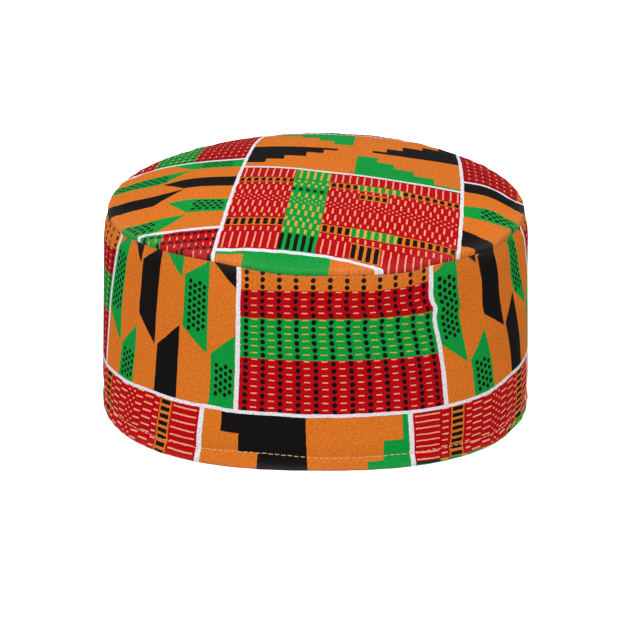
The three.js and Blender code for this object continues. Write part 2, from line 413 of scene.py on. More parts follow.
def mesh_piece(name, corners, faces, charts, sides, wear, materials):
    """A mesh in metres. charts holds for each map one pair of numbers per face corner."""
    mesh = bpy.data.meshes.new(name)
    mesh.from_pydata((np.asarray(corners) * MM).tolist(), [], faces)
    for chart_name, pairs in charts.items():
        layer = mesh.uv_layers.new(name=chart_name)
        layer.data.foreach_set("uv", np.asarray(pairs, np.float32).ravel())
    mesh.polygons.foreach_set("material_index", np.asarray(sides, np.int32))
    mesh.polygons.foreach_set("use_smooth", np.ones(len(faces), bool))
    attribute = mesh.attributes.new("wear", "FLOAT", "POINT")
    attribute.data.foreach_set("value", np.asarray(wear, np.float32))
    for material in materials:
        mesh.materials.append(material)
    mesh.update()
    piece = bpy.data.objects.new(name, mesh)
    bpy.context.scene.collection.objects.link(piece)
    return piece


def grid_faces(rows, columns, is_tube):
    """Corner numbers of the faces of a grid closed round its columns, row by row."""
    row, column = np.meshgrid(
        np.arange(rows if is_tube else rows - 1), np.arange(columns), indexing="ij"
    )
    above = (row + 1) % rows
    right = (column + 1) % columns
    corners = np.stack(
        [
            row * columns + column,
            row * columns + right,
            above * columns + right,
            above * columns + column,
        ],
        axis=-1,
    )
    return corners.reshape(-1, 4)


def grid_chart(table):
    """Pairs per face corner from a table of (row, column, pair) that has one column more than the
    grid has, and one row more where the grid is a tube."""
    low = table[:-1]
    high = table[1:]
    quads = np.stack([low[:, :-1], low[:, 1:], high[:, 1:], high[:, :-1]], axis=2)
    return quads.reshape(-1, 2)


# Where the pieces lie on the cloth


def with_first(points):
    """The rows with the first one again at the end."""
    return np.concatenate([points, points[:1]])


def cloth_tables(count, cloth_at):
    """Places of a tube's rows along each kind of strip and across, the first row again at the end."""
    dots = np.zeros((count + 1, COLUMNS + 1, 2))
    dashes = np.zeros_like(dots)
    for k in range(count + 1):
        along_dots, along_dashes, across = cloth_at(k)
        dots[k] = np.stack([along_dots, across], axis=1)
        dashes[k] = np.stack([along_dashes, across], axis=1)
    return dots, dashes


# Where the pieces lie in the square that is baked

BAKE_SQUARE = 316.0  # millimetres of cloth along the side of the square
QUARTER = COLUMNS // 4


def lengths_down(points):
    """Mean length along the cloth from the first row to each row."""
    steps = np.linalg.norm(np.diff(points, axis=0), axis=2).mean(axis=1)
    return np.concatenate([[0], np.cumsum(steps)])


def strip_corners(corners, lengths, span, scale, left, low, per_row):
    """Lays a span of rows in the square, cut in four lengths. Returns how high they reach."""
    column = np.arange(COLUMNS)
    part = column // QUARTER
    width = whole_round / COLUMNS * scale
    height = (lengths[span[1]] - lengths[span[0]]) * scale
    near = left + (part % per_row) * (QUARTER * width + 2) + (column % QUARTER) * width
    bottom = low + (part // per_row) * (height + 2)
    for k in range(*span):
        down = bottom + (lengths[k] - lengths[span[0]]) * scale
        up = bottom + (lengths[k + 1] - lengths[span[0]]) * scale
        corners[k, :, 0] = np.stack([near, down], axis=1)
        corners[k, :, 1] = np.stack([near + width, down], axis=1)
        corners[k, :, 2] = np.stack([near + width, up], axis=1)
        corners[k, :, 3] = np.stack([near, up], axis=1)
    return low + math.ceil(4 / per_row) * (height + 2)


def disc_places(points, order, centre, scale):
    """Places of rows laid flat as a disc, for rows in order from the middle outwards."""
    flat = points[:, :, :2] - np.array([0, -WIDEST_PLACE])
    heading = flat[order[-1]] / np.linalg.norm(flat[order[-1]], axis=1)[:, None]
    away = np.linalg.norm(flat[order[0]], axis=1)
    places = {}
    for k, number in enumerate(order):
        if k > 0:
            away = away + np.linalg.norm(points[number] - points[order[k - 1]], axis=1)
        places[number] = np.array(centre) + heading * away[:, None] * scale
    return places


def disc_corners(corners, places, span):
    for k in range(*span):
        here = places[k]
        there = places[k + 1]
        corners[k, :, 0] = here
        corners[k, :, 1] = np.roll(here, -1, axis=0)
        corners[k, :, 2] = np.roll(there, -1, axis=0)
        corners[k, :, 3] = there


# The print, drawn by nodes


class Sheet:
    """Adds nodes to one tree, in the order in which they are used."""

    def __init__(self, tree):
        self.tree = tree

    def math(self, operation, *values):
        node = self.tree.nodes.new("ShaderNodeMath")
        node.operation = operation
        for socket, value in zip(node.inputs, values):
            if isinstance(value, (int, float)):
                socket.default_value = value
            else:
                self.tree.links.new(value, socket)
        return node.outputs[0]

    def between(self, value, low, high):
        return self.math("COMPARE", value, (low + high) / 2, (high - low) / 2)

    def line(self, value, from_, to, at_from, at_to):
        """A straight ramp that isn't held at its ends."""
        slope = (at_to - at_from) / (to - from_)
        return self.math("MULTIPLY_ADD", value, slope, at_from - from_ * slope)

    def all_of(self, first, *others):
        for other in others:
            first = self.math("MULTIPLY", first, other)
        return first

    def any_of(self, first, *others):
        for other in others:
            first = self.math("MAXIMUM", first, other)
        return first

    def lacks(self, value):
        return self.math("SUBTRACT", 1.0, value)

    def repeat(self, value, period):
        return self.math("FLOORED_MODULO", value, period)

    def spans(self, value, pairs):
        """1 where the value lies between the two numbers of any pair."""
        return self.any_of(*[self.between(value, low, high) for low, high in pairs])

    def noise(self, scale, detail=2.0, place=None):
        node = self.tree.nodes.new("ShaderNodeTexNoise")
        node.inputs["Scale"].default_value = scale
        node.inputs["Detail"].default_value = detail
        if place is not None:
            self.tree.links.new(place, node.inputs["Vector"])
        return node.outputs

    def vector(self, operation, first, second, socket=1):
        node = self.tree.nodes.new("ShaderNodeVectorMath")
        node.operation = operation
        self.tree.links.new(first, node.inputs[0])
        if isinstance(second, (float, tuple)):
            node.inputs[socket].default_value = second
        else:
            self.tree.links.new(second, node.inputs[socket])
        return node.outputs[0]

    def paint(self, under, ink, where):
        node = self.tree.nodes.new("ShaderNodeMix")
        node.data_type = "RGBA"
        if isinstance(where, float):
            node.inputs["Factor"].default_value = where
        else:
            self.tree.links.new(where, node.inputs["Factor"])
        self.put(under, node.inputs["A"])
        self.put(ink, node.inputs["B"])
        return node.outputs["Result"]

    def put(self, colour, socket):
        if isinstance(colour, str):
            socket.default_value = (*INKS[colour], 1)
        elif isinstance(colour, tuple):
            socket.default_value = (*colour, 1)
        else:
            self.tree.links.new(colour, socket)


def dot(sheet, along, across, radius):
    """1 inside a round dot whose centre is where both numbers are 0."""
    square = sheet.math("MULTIPLY_ADD", across, across, sheet.math("MULTIPLY", along, along))
    return sheet.math("LESS_THAN", square, radius * radius)


def arrow_cell(sheet, under, along, across, here):
    """Bars with slanted ends: whole ones between half ones that stand on both long lines."""
    width = 12.3
    step = 13.9
    moved = sheet.math("SUBTRACT", along, 1.0)
    number = sheet.math("FLOOR", sheet.math("DIVIDE", moved, step))
    inside = sheet.repeat(moved, step)
    is_early = sheet.math("LESS_THAN", number, 1.5)
    low_rows = sheet.math("MULTIPLY_ADD", is_early, 1.9, sheet.math("DIVIDE", across, PITCH))
    rows = sheet.math("DIVIDE", across, PITCH)
    bar = sheet.all_of(
        here, sheet.math("LESS_THAN", inside, width), sheet.between(number, -0.5, 5.5)
    )
    is_whole = sheet.math("LESS_THAN", sheet.repeat(number, 2.0), 0.5)
    foot = sheet.math("GREATER_THAN", low_rows, sheet.line(inside, 0, width, 11.1, 7.5))
    head = sheet.math("LESS_THAN", rows, sheet.line(inside, 0, width, 18.8, 21.5))
    whole = sheet.all_of(bar, is_whole, foot, head)
    half = sheet.all_of(bar, sheet.lacks(is_whole))
    low_half = sheet.all_of(
        half, sheet.math("LESS_THAN", low_rows, sheet.line(inside, 0, width, 7.6, 11.1))
    )
    high_half = sheet.all_of(
        half, sheet.math("GREATER_THAN", rows, sheet.line(inside, 0, width, 21.5, 18.1))
    )
    middle = sheet.between(number, 1.5, 2.5)
    middle_half = sheet.between(number, 2.5, 3.5)
    black = sheet.any_of(
        sheet.all_of(whole, middle),
        sheet.all_of(low_half, middle_half),
        sheet.all_of(high_half, sheet.lacks(middle_half)),
    )
    green_whole = sheet.all_of(whole, sheet.lacks(middle))
    green_low = sheet.all_of(low_half, sheet.lacks(middle_half))
    green_high = sheet.all_of(high_half, middle_half)
    under = sheet.paint(under, "black", black)
    under = sheet.paint(under, "green", sheet.any_of(green_whole, green_low, green_high))
    gap = 2.35
    placed = sheet.math("SUBTRACT", inside, width / 2 + 0.5 - 2 * gap)
    file = sheet.math("FLOOR", sheet.math("DIVIDE", placed, gap))
    in_file = sheet.between(file, -0.5, 3.5)
    shift = sheet.math("MULTIPLY", sheet.repeat(file, 2.0), 0.5)
    row = sheet.math("ADD", sheet.math("ADD", rows, 0.5), shift)
    whole_row = sheet.math("MULTIPLY_ADD", shift, -2.0, row)
    sideways = sheet.math("SUBTRACT", sheet.repeat(placed, gap), gap / 2)
    upwards = sheet.math("MULTIPLY", sheet.math("SUBTRACT", sheet.math("FRACT", row), 0.5), PITCH)
    spot = sheet.all_of(dot(sheet, sideways, upwards, 0.96), in_file)
    lowest = sheet.math("SUBTRACT", 11.0, sheet.math("LESS_THAN", number, 0.5))
    tall = sheet.all_of(
        green_whole, sheet.math("GREATER_THAN", whole_row, lowest), sheet.math("LESS_THAN", row, 19.0)
    )
    short = sheet.all_of(
        green_low,
        sheet.math("GREATER_THAN", whole_row, sheet.math("SUBTRACT", 2.0, is_early)),
        sheet.math("LESS_THAN", row, sheet.math("SUBTRACT", 7.0, is_early)),
    )
    upper = sheet.all_of(
        green_high,
        sheet.math("GREATER_THAN", whole_row, 23.0),
        sheet.math("LESS_THAN", row, 28.0),
    )
    return sheet.paint(under, "black", sheet.all_of(spot, sheet.any_of(tall, short, upper)))


def dot_cell(sheet, under, along, across, here):
    """Stripes along the strip, with files of black dots and short dashes between them."""
    rows = sheet.math("DIVIDE", across, PITCH)
    red = sheet.any_of(
        sheet.math("LESS_THAN", rows, 8.0),
        sheet.between(rows, 14.0, 18.0),
        sheet.math("GREATER_THAN", rows, 22.0),
    )
    green = sheet.between(rows, 8.0, 14.0)
    under = sheet.paint(under, "red", sheet.all_of(here, red))
    under = sheet.paint(under, "green", sheet.all_of(here, green))
    step = DOT_CELL / 12
    sideways = sheet.math("SUBTRACT", sheet.repeat(along, step), step / 2)
    upwards = sheet.math("MULTIPLY", sheet.math("SUBTRACT", sheet.math("FRACT", rows), 0.5), PITCH)
    under = sheet.paint(under, "black", sheet.all_of(here, dot(sheet, sideways, upwards, 1.09)))
    from_middle = sheet.repeat(sheet.math("ADD", along, step / 2), step)
    between_files = sheet.math("ABSOLUTE", sheet.math("ADD", from_middle, -step / 2))
    risen = sheet.math("FRACT", sheet.math("ADD", rows, -0.33))
    thin = sheet.between(risen, 0.5 - 0.082, 0.5 + 0.082)
    on_red = sheet.all_of(here, red, thin, sheet.math("LESS_THAN", between_files, 1.25))
    on_green = sheet.all_of(here, green, thin, sheet.math("LESS_THAN", between_files, 1.5))
    under = sheet.paint(under, "peach", on_red)
    return sheet.paint(under, "yellow", on_green)


# Steps from the nearer long line: how deep each reaches, and how long it is along the strip
BLACK_STEPS = [(9.2, 36.4), (17.2, 28.5), (26.9, 20.4), (34.4, 11.6), (40.8, 4.2)]
GREEN_STEPS = [(12.3, 3.5), (21.4, 11.9), (30.5, 18.8), (38.1, 26.0), (47.6, 33.8)]


def step_cell(sheet, under, along, across, here):
    """Two black and two green stairs, turned about the middle of the cell."""
    black_parts = []
    green_parts = []
    for is_turned in (False, True):
        if is_turned:
            place = sheet.math("SUBTRACT", STEP_CELL, along)
            depth = across
        else:
            place = along
            depth = sheet.math("SUBTRACT", DASH_STRIP, across)
        flat = STEP_CELL / 2 + 1.3
        above = 0.0
        for below, length in BLACK_STEPS:
            side = sheet.between(place, flat - length, flat)
            black_parts.append(sheet.all_of(sheet.between(depth, above, below), side))
            above = below
        above = 0.0
        for below, length in GREEN_STEPS:
            side = sheet.math("GREATER_THAN", place, STEP_CELL - length)
            green_parts.append(sheet.all_of(sheet.between(depth, above, below), side))
            above = below
    under = sheet.paint(under, "black", sheet.all_of(here, sheet.any_of(*black_parts)))
    return sheet.paint(under, "green", sheet.all_of(here, sheet.any_of(*green_parts)))


# Dashes of the dashed cell: where each begins and ends along it, and its share of a row's shift
START_DASH = (1.9, 12.9)
END_DASH = (75.0, 85.9)
MIDDLE_DASHES = [
    (14.1, 17.1, 0.3),
    (27.9, 30.5, 0.3),
    (31.5, 36.8, 0.8),
    (38.0, 43.4, 0.3),
    (50.7, 55.0, 0.3),
    (56.4, 61.6, 0.8),
    (62.8, 65.3, 0.3),
]
TINY_DOTS = [(45.1, 0.8), (47.1, 0.3), (49.1, 0.8)]
START_BLOCK = (18.4, 26.4)
END_BLOCK = (65.9, 74.1)

# Dashes of the green stripe across the dashed cell
SHIFTED_YELLOW = [(14.1, 17.4), (25.6, 28.9), (38.0, 43.0), (51.0, 55.0), (63.0, 66.0)]
BROAD_YELLOW = [(19.0, 24.6), (31.4, 36.6), (68.0, 71.6), END_DASH]


def dash_cell(sheet, under, along, across, here):
    """Rows of dashes on red, with two orange blocks of black bars, and a green stripe across."""
    depth = sheet.math("DIVIDE", sheet.math("SUBTRACT", DASH_STRIP, across), DASH_PITCH)
    row = sheet.math("ADD", depth, -0.1)
    under = sheet.paint(under, "red", here)
    stripe = sheet.all_of(here, sheet.between(row, 8.0, 13.0))
    other = sheet.all_of(here, sheet.between(row, 17.0, 23.3))
    blocks = sheet.all_of(here, sheet.spans(along, (START_BLOCK, END_BLOCK)))
    beside = sheet.all_of(here, sheet.between(row, 17.4, 21.4))
    extra_start = sheet.all_of(beside, sheet.between(along, 1.6, 13.6))
    extra_end = sheet.all_of(beside, sheet.between(along, 55.6, 62.2))
    under = sheet.paint(under, "orange", sheet.any_of(blocks, extra_start, extra_end))
    under = sheet.paint(under, "green", sheet.any_of(stripe, sheet.all_of(other, blocks)))

    def thin_rows(shift, half):
        moved = sheet.math("FRACT", sheet.math("ADD", row, shift))
        return sheet.between(moved, 0.5 - half, 0.5 + half)

    plain = {}
    for low, high, shift in MIDDLE_DASHES:
        plain.setdefault(shift, []).append(sheet.between(along, low, high))
    dashes = []
    for shift, spans in plain.items():
        dashes.append(sheet.all_of(thin_rows(shift, 0.112), sheet.any_of(*spans)))
    for place, shift in TINY_DOTS:
        dashes.append(
            sheet.all_of(sheet.between(along, place - 0.55, place + 0.55), thin_rows(shift, 0.112))
        )
    middle = sheet.any_of(*dashes)
    long_rows = thin_rows(0.8, 0.1)
    ends = sheet.spans(along, (START_DASH, END_DASH))
    peach = sheet.all_of(here, sheet.any_of(middle, sheet.all_of(long_rows, ends)))
    peach = sheet.all_of(peach, sheet.lacks(sheet.any_of(stripe, extra_start, extra_end, blocks)))
    under = sheet.paint(under, "peach", peach)
    broad_rows = thin_rows(0.8, 0.17)
    shifted_rows = thin_rows(0.3, 0.17)
    yellow_places = sheet.any_of(
        sheet.all_of(shifted_rows, sheet.spans(along, SHIFTED_YELLOW)),
        sheet.all_of(broad_rows, sheet.spans(along, BROAD_YELLOW)),
        sheet.all_of(middle, sheet.between(along, 44.0, 50.0)),
    )
    yellow = sheet.all_of(stripe, yellow_places)
    ticks = sheet.all_of(other, blocks, thin_rows(0.5, 0.2))
    under = sheet.paint(under, "yellow", sheet.any_of(yellow, ticks))
    bars = thin_rows(0.9, 0.3)
    start_bars = sheet.all_of(blocks, bars, sheet.between(along, 19.1, 25.7))
    end_bars = sheet.all_of(blocks, bars, sheet.between(along, 66.7, 73.3))
    calm = sheet.lacks(sheet.any_of(stripe, other))
    block_bars = sheet.all_of(calm, sheet.any_of(start_bars, end_bars))
    beside_bars = thin_rows(0.65, 0.3)
    long_bars = sheet.all_of(extra_start, beside_bars, sheet.between(along, 2.4, 12.8))
    squares = sheet.all_of(extra_end, beside_bars, sheet.between(along, 56.7, 61.1))
    stripe_rows = thin_rows(0.28, 0.26)
    stripe_bars = sheet.all_of(stripe, stripe_rows, sheet.between(along, 1.6, 13.0))
    stripe_squares = sheet.all_of(stripe, stripe_rows, sheet.between(along, 57.4, 60.6))
    black = sheet.any_of(block_bars, long_bars, squares, stripe_bars, stripe_squares)
    return sheet.paint(under, "black", black)


def print_group():
    """The whole print as one node group. It reads where each place lies on the cloth."""
    tree = bpy.data.node_groups.new("StripPrint", "ShaderNodeTree")
    tree.interface.new_socket("Dots", in_out="INPUT", socket_type="NodeSocketVector")
    tree.interface.new_socket("Dashes", in_out="INPUT", socket_type="NodeSocketVector")
    tree.interface.new_socket("Colour", in_out="OUTPUT", socket_type="NodeSocketColor")
    sheet = Sheet(tree)
    entry = tree.nodes.new("NodeGroupInput")
    dots = tree.nodes.new("ShaderNodeSeparateXYZ")
    tree.links.new(entry.outputs["Dots"], dots.inputs[0])
    dashes = tree.nodes.new("ShaderNodeSeparateXYZ")
    tree.links.new(entry.outputs["Dashes"], dashes.inputs[0])
    across = sheet.repeat(sheet.math("MULTIPLY", dots.outputs[1], 1000.0), BOTH_STRIPS)
    on_dots = sheet.math("LESS_THAN", across, DOT_STRIP)
    on_dashes = sheet.lacks(on_dots)
    along = sheet.repeat(sheet.math("MULTIPLY", dots.outputs[0], 1000.0), ARROW_CELL + DOT_CELL)
    is_arrows = sheet.math("LESS_THAN", along, ARROW_CELL)
    start = tree.nodes.new("ShaderNodeRGB")
    start.outputs[0].default_value = (*INKS["orange"], 1)
    colour = start.outputs[0]
    colour = arrow_cell(sheet, colour, along, across, sheet.all_of(on_dots, is_arrows))
    beyond = sheet.math("SUBTRACT", along, ARROW_CELL)
    colour = dot_cell(sheet, colour, beyond, across, sheet.all_of(on_dots, sheet.lacks(is_arrows)))
    half_line = CROSS_LINE / 2
    cross = sheet.any_of(
        sheet.math("LESS_THAN", along, half_line),
        sheet.math("GREATER_THAN", along, ARROW_CELL + DOT_CELL - half_line),
        sheet.between(along, ARROW_CELL - half_line, ARROW_CELL + half_line),
    )
    colour = sheet.paint(colour, "white", sheet.all_of(on_dots, cross))
    across_dashes = sheet.math("SUBTRACT", across, DOT_STRIP)
    along = sheet.repeat(sheet.math("MULTIPLY", dashes.outputs[0], 1000.0), STEP_CELL + DASH_CELL)
    is_steps = sheet.math("LESS_THAN", along, STEP_CELL)
    colour = step_cell(sheet, colour, along, across_dashes, sheet.all_of(on_dashes, is_steps))
    beyond = sheet.math("SUBTRACT", along, STEP_CELL)
    colour = dash_cell(sheet, colour, beyond, across_dashes, sheet.all_of(on_dashes, sheet.lacks(is_steps)))
    cross = sheet.any_of(
        sheet.math("LESS_THAN", along, half_line),
        sheet.math("GREATER_THAN", along, STEP_CELL + DASH_CELL - half_line),
        sheet.between(along, STEP_CELL - half_line, STEP_CELL + half_line),
    )
    colour = sheet.paint(colour, "white", sheet.all_of(on_dashes, cross))
    half_line = LONG_WHITE / 2
    long_lines = sheet.any_of(
        sheet.math("LESS_THAN", across, half_line),
        sheet.math("GREATER_THAN", across, BOTH_STRIPS - half_line),
        sheet.between(across, DOT_STRIP - half_line, DOT_STRIP + half_line),
    )
    colour = sheet.paint(colour, "white", long_lines)
    leave = tree.nodes.new("NodeGroupOutput")
    tree.links.new(colour, leave.inputs["Colour"])
    return tree


def new_material(name):
    """A material, its shader, and a sheet that adds to its nodes."""
    material = bpy.data.materials.new(name)
    material.use_nodes = True
    tree = material.node_tree
    return material, tree.nodes["Principled BSDF"], Sheet(tree)


def printed_cotton(name, group, is_reverse):
    """Printed plain-weave cotton, or its paler reverse."""
    material, shader, sheet = new_material(name)
    tree = material.node_tree
    place = tree.nodes.new("ShaderNodeUVMap")
    place.uv_map = "Cloth"
    place = place.outputs[0]
    other = tree.nodes.new("ShaderNodeUVMap")
    other.uv_map = "ClothDashes"
    wobble = sheet.noise(260.0, 2.0, place)["Color"]
    centred = sheet.vector("SUBTRACT", wobble, (0.5, 0.5, 0.5))
    small = sheet.vector("SCALE", centred, 0.0006, "Scale")
    printed = tree.nodes.new("ShaderNodeGroup")
    printed.node_tree = group
    for uv, socket in ((place, "Dots"), (other.outputs[0], "Dashes")):
        tree.links.new(sheet.vector("ADD", uv, small), printed.inputs[socket])
    colour = printed.outputs["Colour"]
    if is_reverse:
        colour = sheet.paint(colour, (0.74, 0.66, 0.58), 0.62)

    heather = sheet.noise(1000.0, 1.0, place)[0]
    cloudy = sheet.noise(28.0, 3.0, place)[0]
    fine = sheet.math("MULTIPLY_ADD", heather, 0.8, 0.6)
    broad = sheet.math("MULTIPLY_ADD", cloudy, 0.16, 0.92)
    split = tree.nodes.new("ShaderNodeSeparateXYZ")
    tree.links.new(place, split.inputs[0])
    turns = 2 * math.pi / (THREAD * MM * 2)
    warp = sheet.math("SINE", sheet.math("MULTIPLY", split.outputs[0], turns))
    weft = sheet.math("SINE", sheet.math("MULTIPLY", split.outputs[1], turns))
    weave = sheet.math("MULTIPLY_ADD", sheet.math("MULTIPLY", warp, weft), 0.5, 0.5)
    crossing = sheet.math("MULTIPLY_ADD", weave, 0.2, 0.9)
    tinted = sheet.vector("SCALE", colour, sheet.all_of(fine, broad, crossing), "Scale")

    worn = tree.nodes.new("ShaderNodeAttribute")
    worn.attribute_name = "wear"
    patch = sheet.math("MULTIPLY", worn.outputs["Fac"], sheet.math("MULTIPLY", cloudy, 0.08))
    faded = sheet.paint(tinted, (0.72, 0.64, 0.56), patch)
    tree.links.new(faded, shader.inputs["Base Color"])

    slubs = sheet.math("MULTIPLY_ADD", heather, 0.6, weave)
    rough = sheet.math("MULTIPLY_ADD", slubs, 0.1, 0.76)
    tree.links.new(rough, shader.inputs["Roughness"])
    bump = tree.nodes.new("ShaderNodeBump")
    bump.inputs["Strength"].default_value = 0.55
    bump.inputs["Distance"].default_value = 0.00012
    tree.links.new(slubs, bump.inputs["Height"])
    tree.links.new(bump.outputs[0], shader.inputs["Normal"])
    shader.inputs["Specular IOR Level"].default_value = 0.05
    return material


strip_print = print_group()
printed_face = printed_cotton("printed_cotton", strip_print, False)
reverse_face = printed_cotton("cotton_reverse", strip_print, True)
cloth_materials = [printed_face, reverse_face]


# The side wall

def rolled(points):
    """The row with its first column at the back seam."""
    return np.roll(points, -back_column, axis=0)


def side_band():
    rows = wall_rows()
    points = np.stack([rolled(row[0]) for row in rows])

    def cloth_at(k):
        height = with_first(points[k % len(rows), :, 2])
        if k == len(rows):
            height = height - 1.0
        elif rows[k][2] == "under":
            height = height - (4.2 - 0.8 * (len(rows) - k))
        return wall_cloth(height)

    cloth, dashes = cloth_tables(len(rows), cloth_at)
    faces = grid_faces(len(rows), COLUMNS, True)
    sides = np.zeros((len(rows), COLUMNS), int)
    inner = [k for k, row in enumerate(rows) if row[2] == "in"]
    sides[inner[0] : inner[-1]] = 1
    wear = np.zeros((len(rows), COLUMNS))
    for k, row in enumerate(rows):
        if row[2] == "out":
            low = bell(row[1] * SEAM_HEIGHT, 1.6)
            high = bell((1 - row[1]) * SEAM_HEIGHT, 2.2)
            wear[k] = low + 0.7 * high
    laid = np.zeros((len(rows), COLUMNS, 4, 2))
    lengths = lengths_down(with_first(points))
    reached = strip_corners(laid, lengths, (0, inner[0]), 1.0, 1, 1, 2)
    reached = strip_corners(laid, lengths, (inner[0], inner[-1]), 0.65, 1, reached, 3)
    strip_corners(laid, lengths, (inner[-1], len(rows)), 0.5, 1, reached, 4)
    piece = mesh_piece(
        "side_band_cloth",
        points.reshape(-1, 3),
        faces.tolist(),
        {
            "Cloth": grid_chart(cloth) * MM,
            "ClothDashes": grid_chart(dashes) * MM,
            "OFBake": laid.reshape(-1, 2) / BAKE_SQUARE,
        },
        sides.ravel(),
        wear.ravel(),
        cloth_materials,
    )
    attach(piece, "root")
    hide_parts("side_band")
    return piece


# The turned-up hem inside the rim

# Heights of its rows, and how far each lies inside its face next to the wall
HEM_OUTSIDE = [(1.75, 0.25), (3.0, 0.0), (6.3, 0.0), (9.5, 0.0), (HEM_TOP - 0.3, 0.0), (HEM_TOP, 0.45)]
HEM_INSIDE = [
    (HEM_TOP, HEM - 0.45),
    (HEM_TOP - 0.4, HEM),
    (10.2, HEM),
    (8.5, HEM),
    (7.2, HEM),
    (6.3, HEM - 0.25),
    (5.4, HEM),
    (4.0, HEM),
    (2.6, HEM),
    (1.75, HEM - 0.2),
]


def hem_turn_up():
    inset = WALL + GAP
    rows = []
    for profile, side in ((HEM_OUTSIDE, 1), (HEM_INSIDE, 0)):
        for height, extra in profile:
            radius = wall_radius(height / SEAM_HEIGHT) - inset - extra
            rows.append((ring(radius, height), height, side))
    points = np.stack([rolled(row[0]) for row in rows])

    def cloth_at(k):
        return wall_cloth(-with_first(points[k % len(rows), :, 2]) - 3.0)

    cloth, dashes = cloth_tables(len(rows), cloth_at)
    sides = np.repeat([row[2] for row in rows], COLUMNS)
    wear = np.repeat([float(row[1] > 10) for row in rows], COLUMNS)
    laid = np.zeros((len(rows), COLUMNS, 4, 2))
    lengths = lengths_down(with_first(points))
    outside = len(HEM_OUTSIDE)
    reached = strip_corners(laid, lengths, (0, outside), 1.0, 1, 1, 2)
    strip_corners(laid, lengths, (outside, len(rows)), 1.0, 1, reached, 2)
    piece = mesh_piece(
        "hem_turn_up_cloth",
        points.reshape(-1, 3),
        grid_faces(len(rows), COLUMNS, True).tolist(),
        {
            "Cloth": grid_chart(cloth) * MM,
            "ClothDashes": grid_chart(dashes) * MM,
            "OFBake": laid.reshape(-1, 2) / BAKE_SQUARE,
        },
        sides,
        wear,
        cloth_materials,
    )
    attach(piece, "root")
    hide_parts("hem_turn_up")
    return piece


# The crown panel


# Depths along the crown, front to back, at which places of its strips lie, for places sideways
DASH_PLACES = (0, 18.4, 26.4, 47.1, 66.4, 73.6, 88.0, 132.25)
DASH_KNOTS = [
    (-40, -79.6, -56.6, -49.0, -25.0, -7.6, -2.6, 13.5, 48.0),
    (-33, -80.0, -57.4, -49.8, -26.8, -8.7, -3.9, 12.2, 46.2),
    (-8, -82.4, -60.8, -54.0, -34.3, -13.6, -8.9, 5.2, 41.6),
    (4, -84.9, -65.6, -58.6, -38.5, -18.6, -13.2, 0.6, 39.2),
    (18, -89.2, -68.8, -61.4, -41.0, -22.0, -16.3, -3.0, 37.3),
    (36, -95.0, -70.8, -64.4, -45.0, -25.4, -20.0, -7.4, 35.2),
    (58, -101.0, -76.5, -71.0, -49.8, -31.0, -27.0, -10.5, 35.4),
    (70, -104.0, -79.0, -73.0, -52.0, -33.0, -28.5, -11.5, 36.0),
]
LEFT_PLACES = (0, 28.8, 56.6, 84.0)
LEFT_KNOTS = [
    (-92, -60.0, -27.0, 3.0, 24.0),
    (-79, -58.0, -25.1, 4.6, 29.0),
    (-70, -56.5, -25.0, 3.8, 32.0),
    (-56, -57.3, -22.5, 6.0, 29.5),
    (-35, -58.3, -27.5, 0.5, 25.2),
    (-25, -58.5, -28.5, -0.5, 24.5),
]
RIGHT_PLACES = (0, 14.9, 27.2, 42.7, 55.0, 70.5, 84.0)
RIGHT_KNOTS = [
    (55, -80.0, -65.5, -50.5, -38.4, -27.4, -9.0, 5.4),
    (63, -80.0, -65.0, -52.0, -38.4, -27.2, -9.1, 5.6),
    (74, -83.0, -68.0, -58.0, -38.4, -25.4, -9.5, 5.3),
    (80, -85.0, -70.0, -60.0, -39.6, -29.5, -13.5, -0.4),
    (86, -87.0, -72.0, -62.0, -43.0, -33.0, -19.5, -7.5),
]


def crown_cloth(x, y):
    """Cloth places of the crown: along the dotted strips, along the dashed strips, and across.
    The strips run from front to back, and across them the cloth runs from right to left."""
    right_line = 62.2 + 0.03 * y - 0.0004 * y * y
    left_line = -32.8 + 0.105 * y
    across = DASH_STRIP * (right_line - x) / (right_line - left_line)
    beyond_left = DASH_STRIP + (left_line - x)
    beyond_right = right_line - x
    across = np.where(x < left_line, beyond_left, np.where(x > right_line, beyond_right, across))
    along_dashes = place_along(from_table(DASH_KNOTS, x), DASH_PLACES, y)
    left = place_along(from_table(LEFT_KNOTS, x), LEFT_PLACES, y)
    right = place_along(from_table(RIGHT_KNOTS, x), RIGHT_PLACES, y)
    along_dots = np.where(x > (right_line + left_line) / 2, right, left)
    return along_dots, along_dashes + STEP_CELL, across + DOT_STRIP


def crown_top_height(out, reach):
    """Height of the panel's top face at each angle, for one share of the way out."""
    flat = smooth(crown_outs, fine_crown.T, np.array([max(out, crown_outs[0])]))[0]
    if out < crown_outs[0]:
        middle = fine_crown[:, 0].mean()
        flat = middle + (flat - middle) * (out / crown_outs[0]) ** 2
    inside = (1 - out) * reach
    pucker = ripple(angles, (29, 37, 46, 58), 12) * 0.4
    relief = ripple(angles, (3, 5, 7, 11), 21) * 0.4 * out**2 * (1 - out)
    return flat + pucker * bell(inside - 6, 4.5) * (out > 0.5) + relief


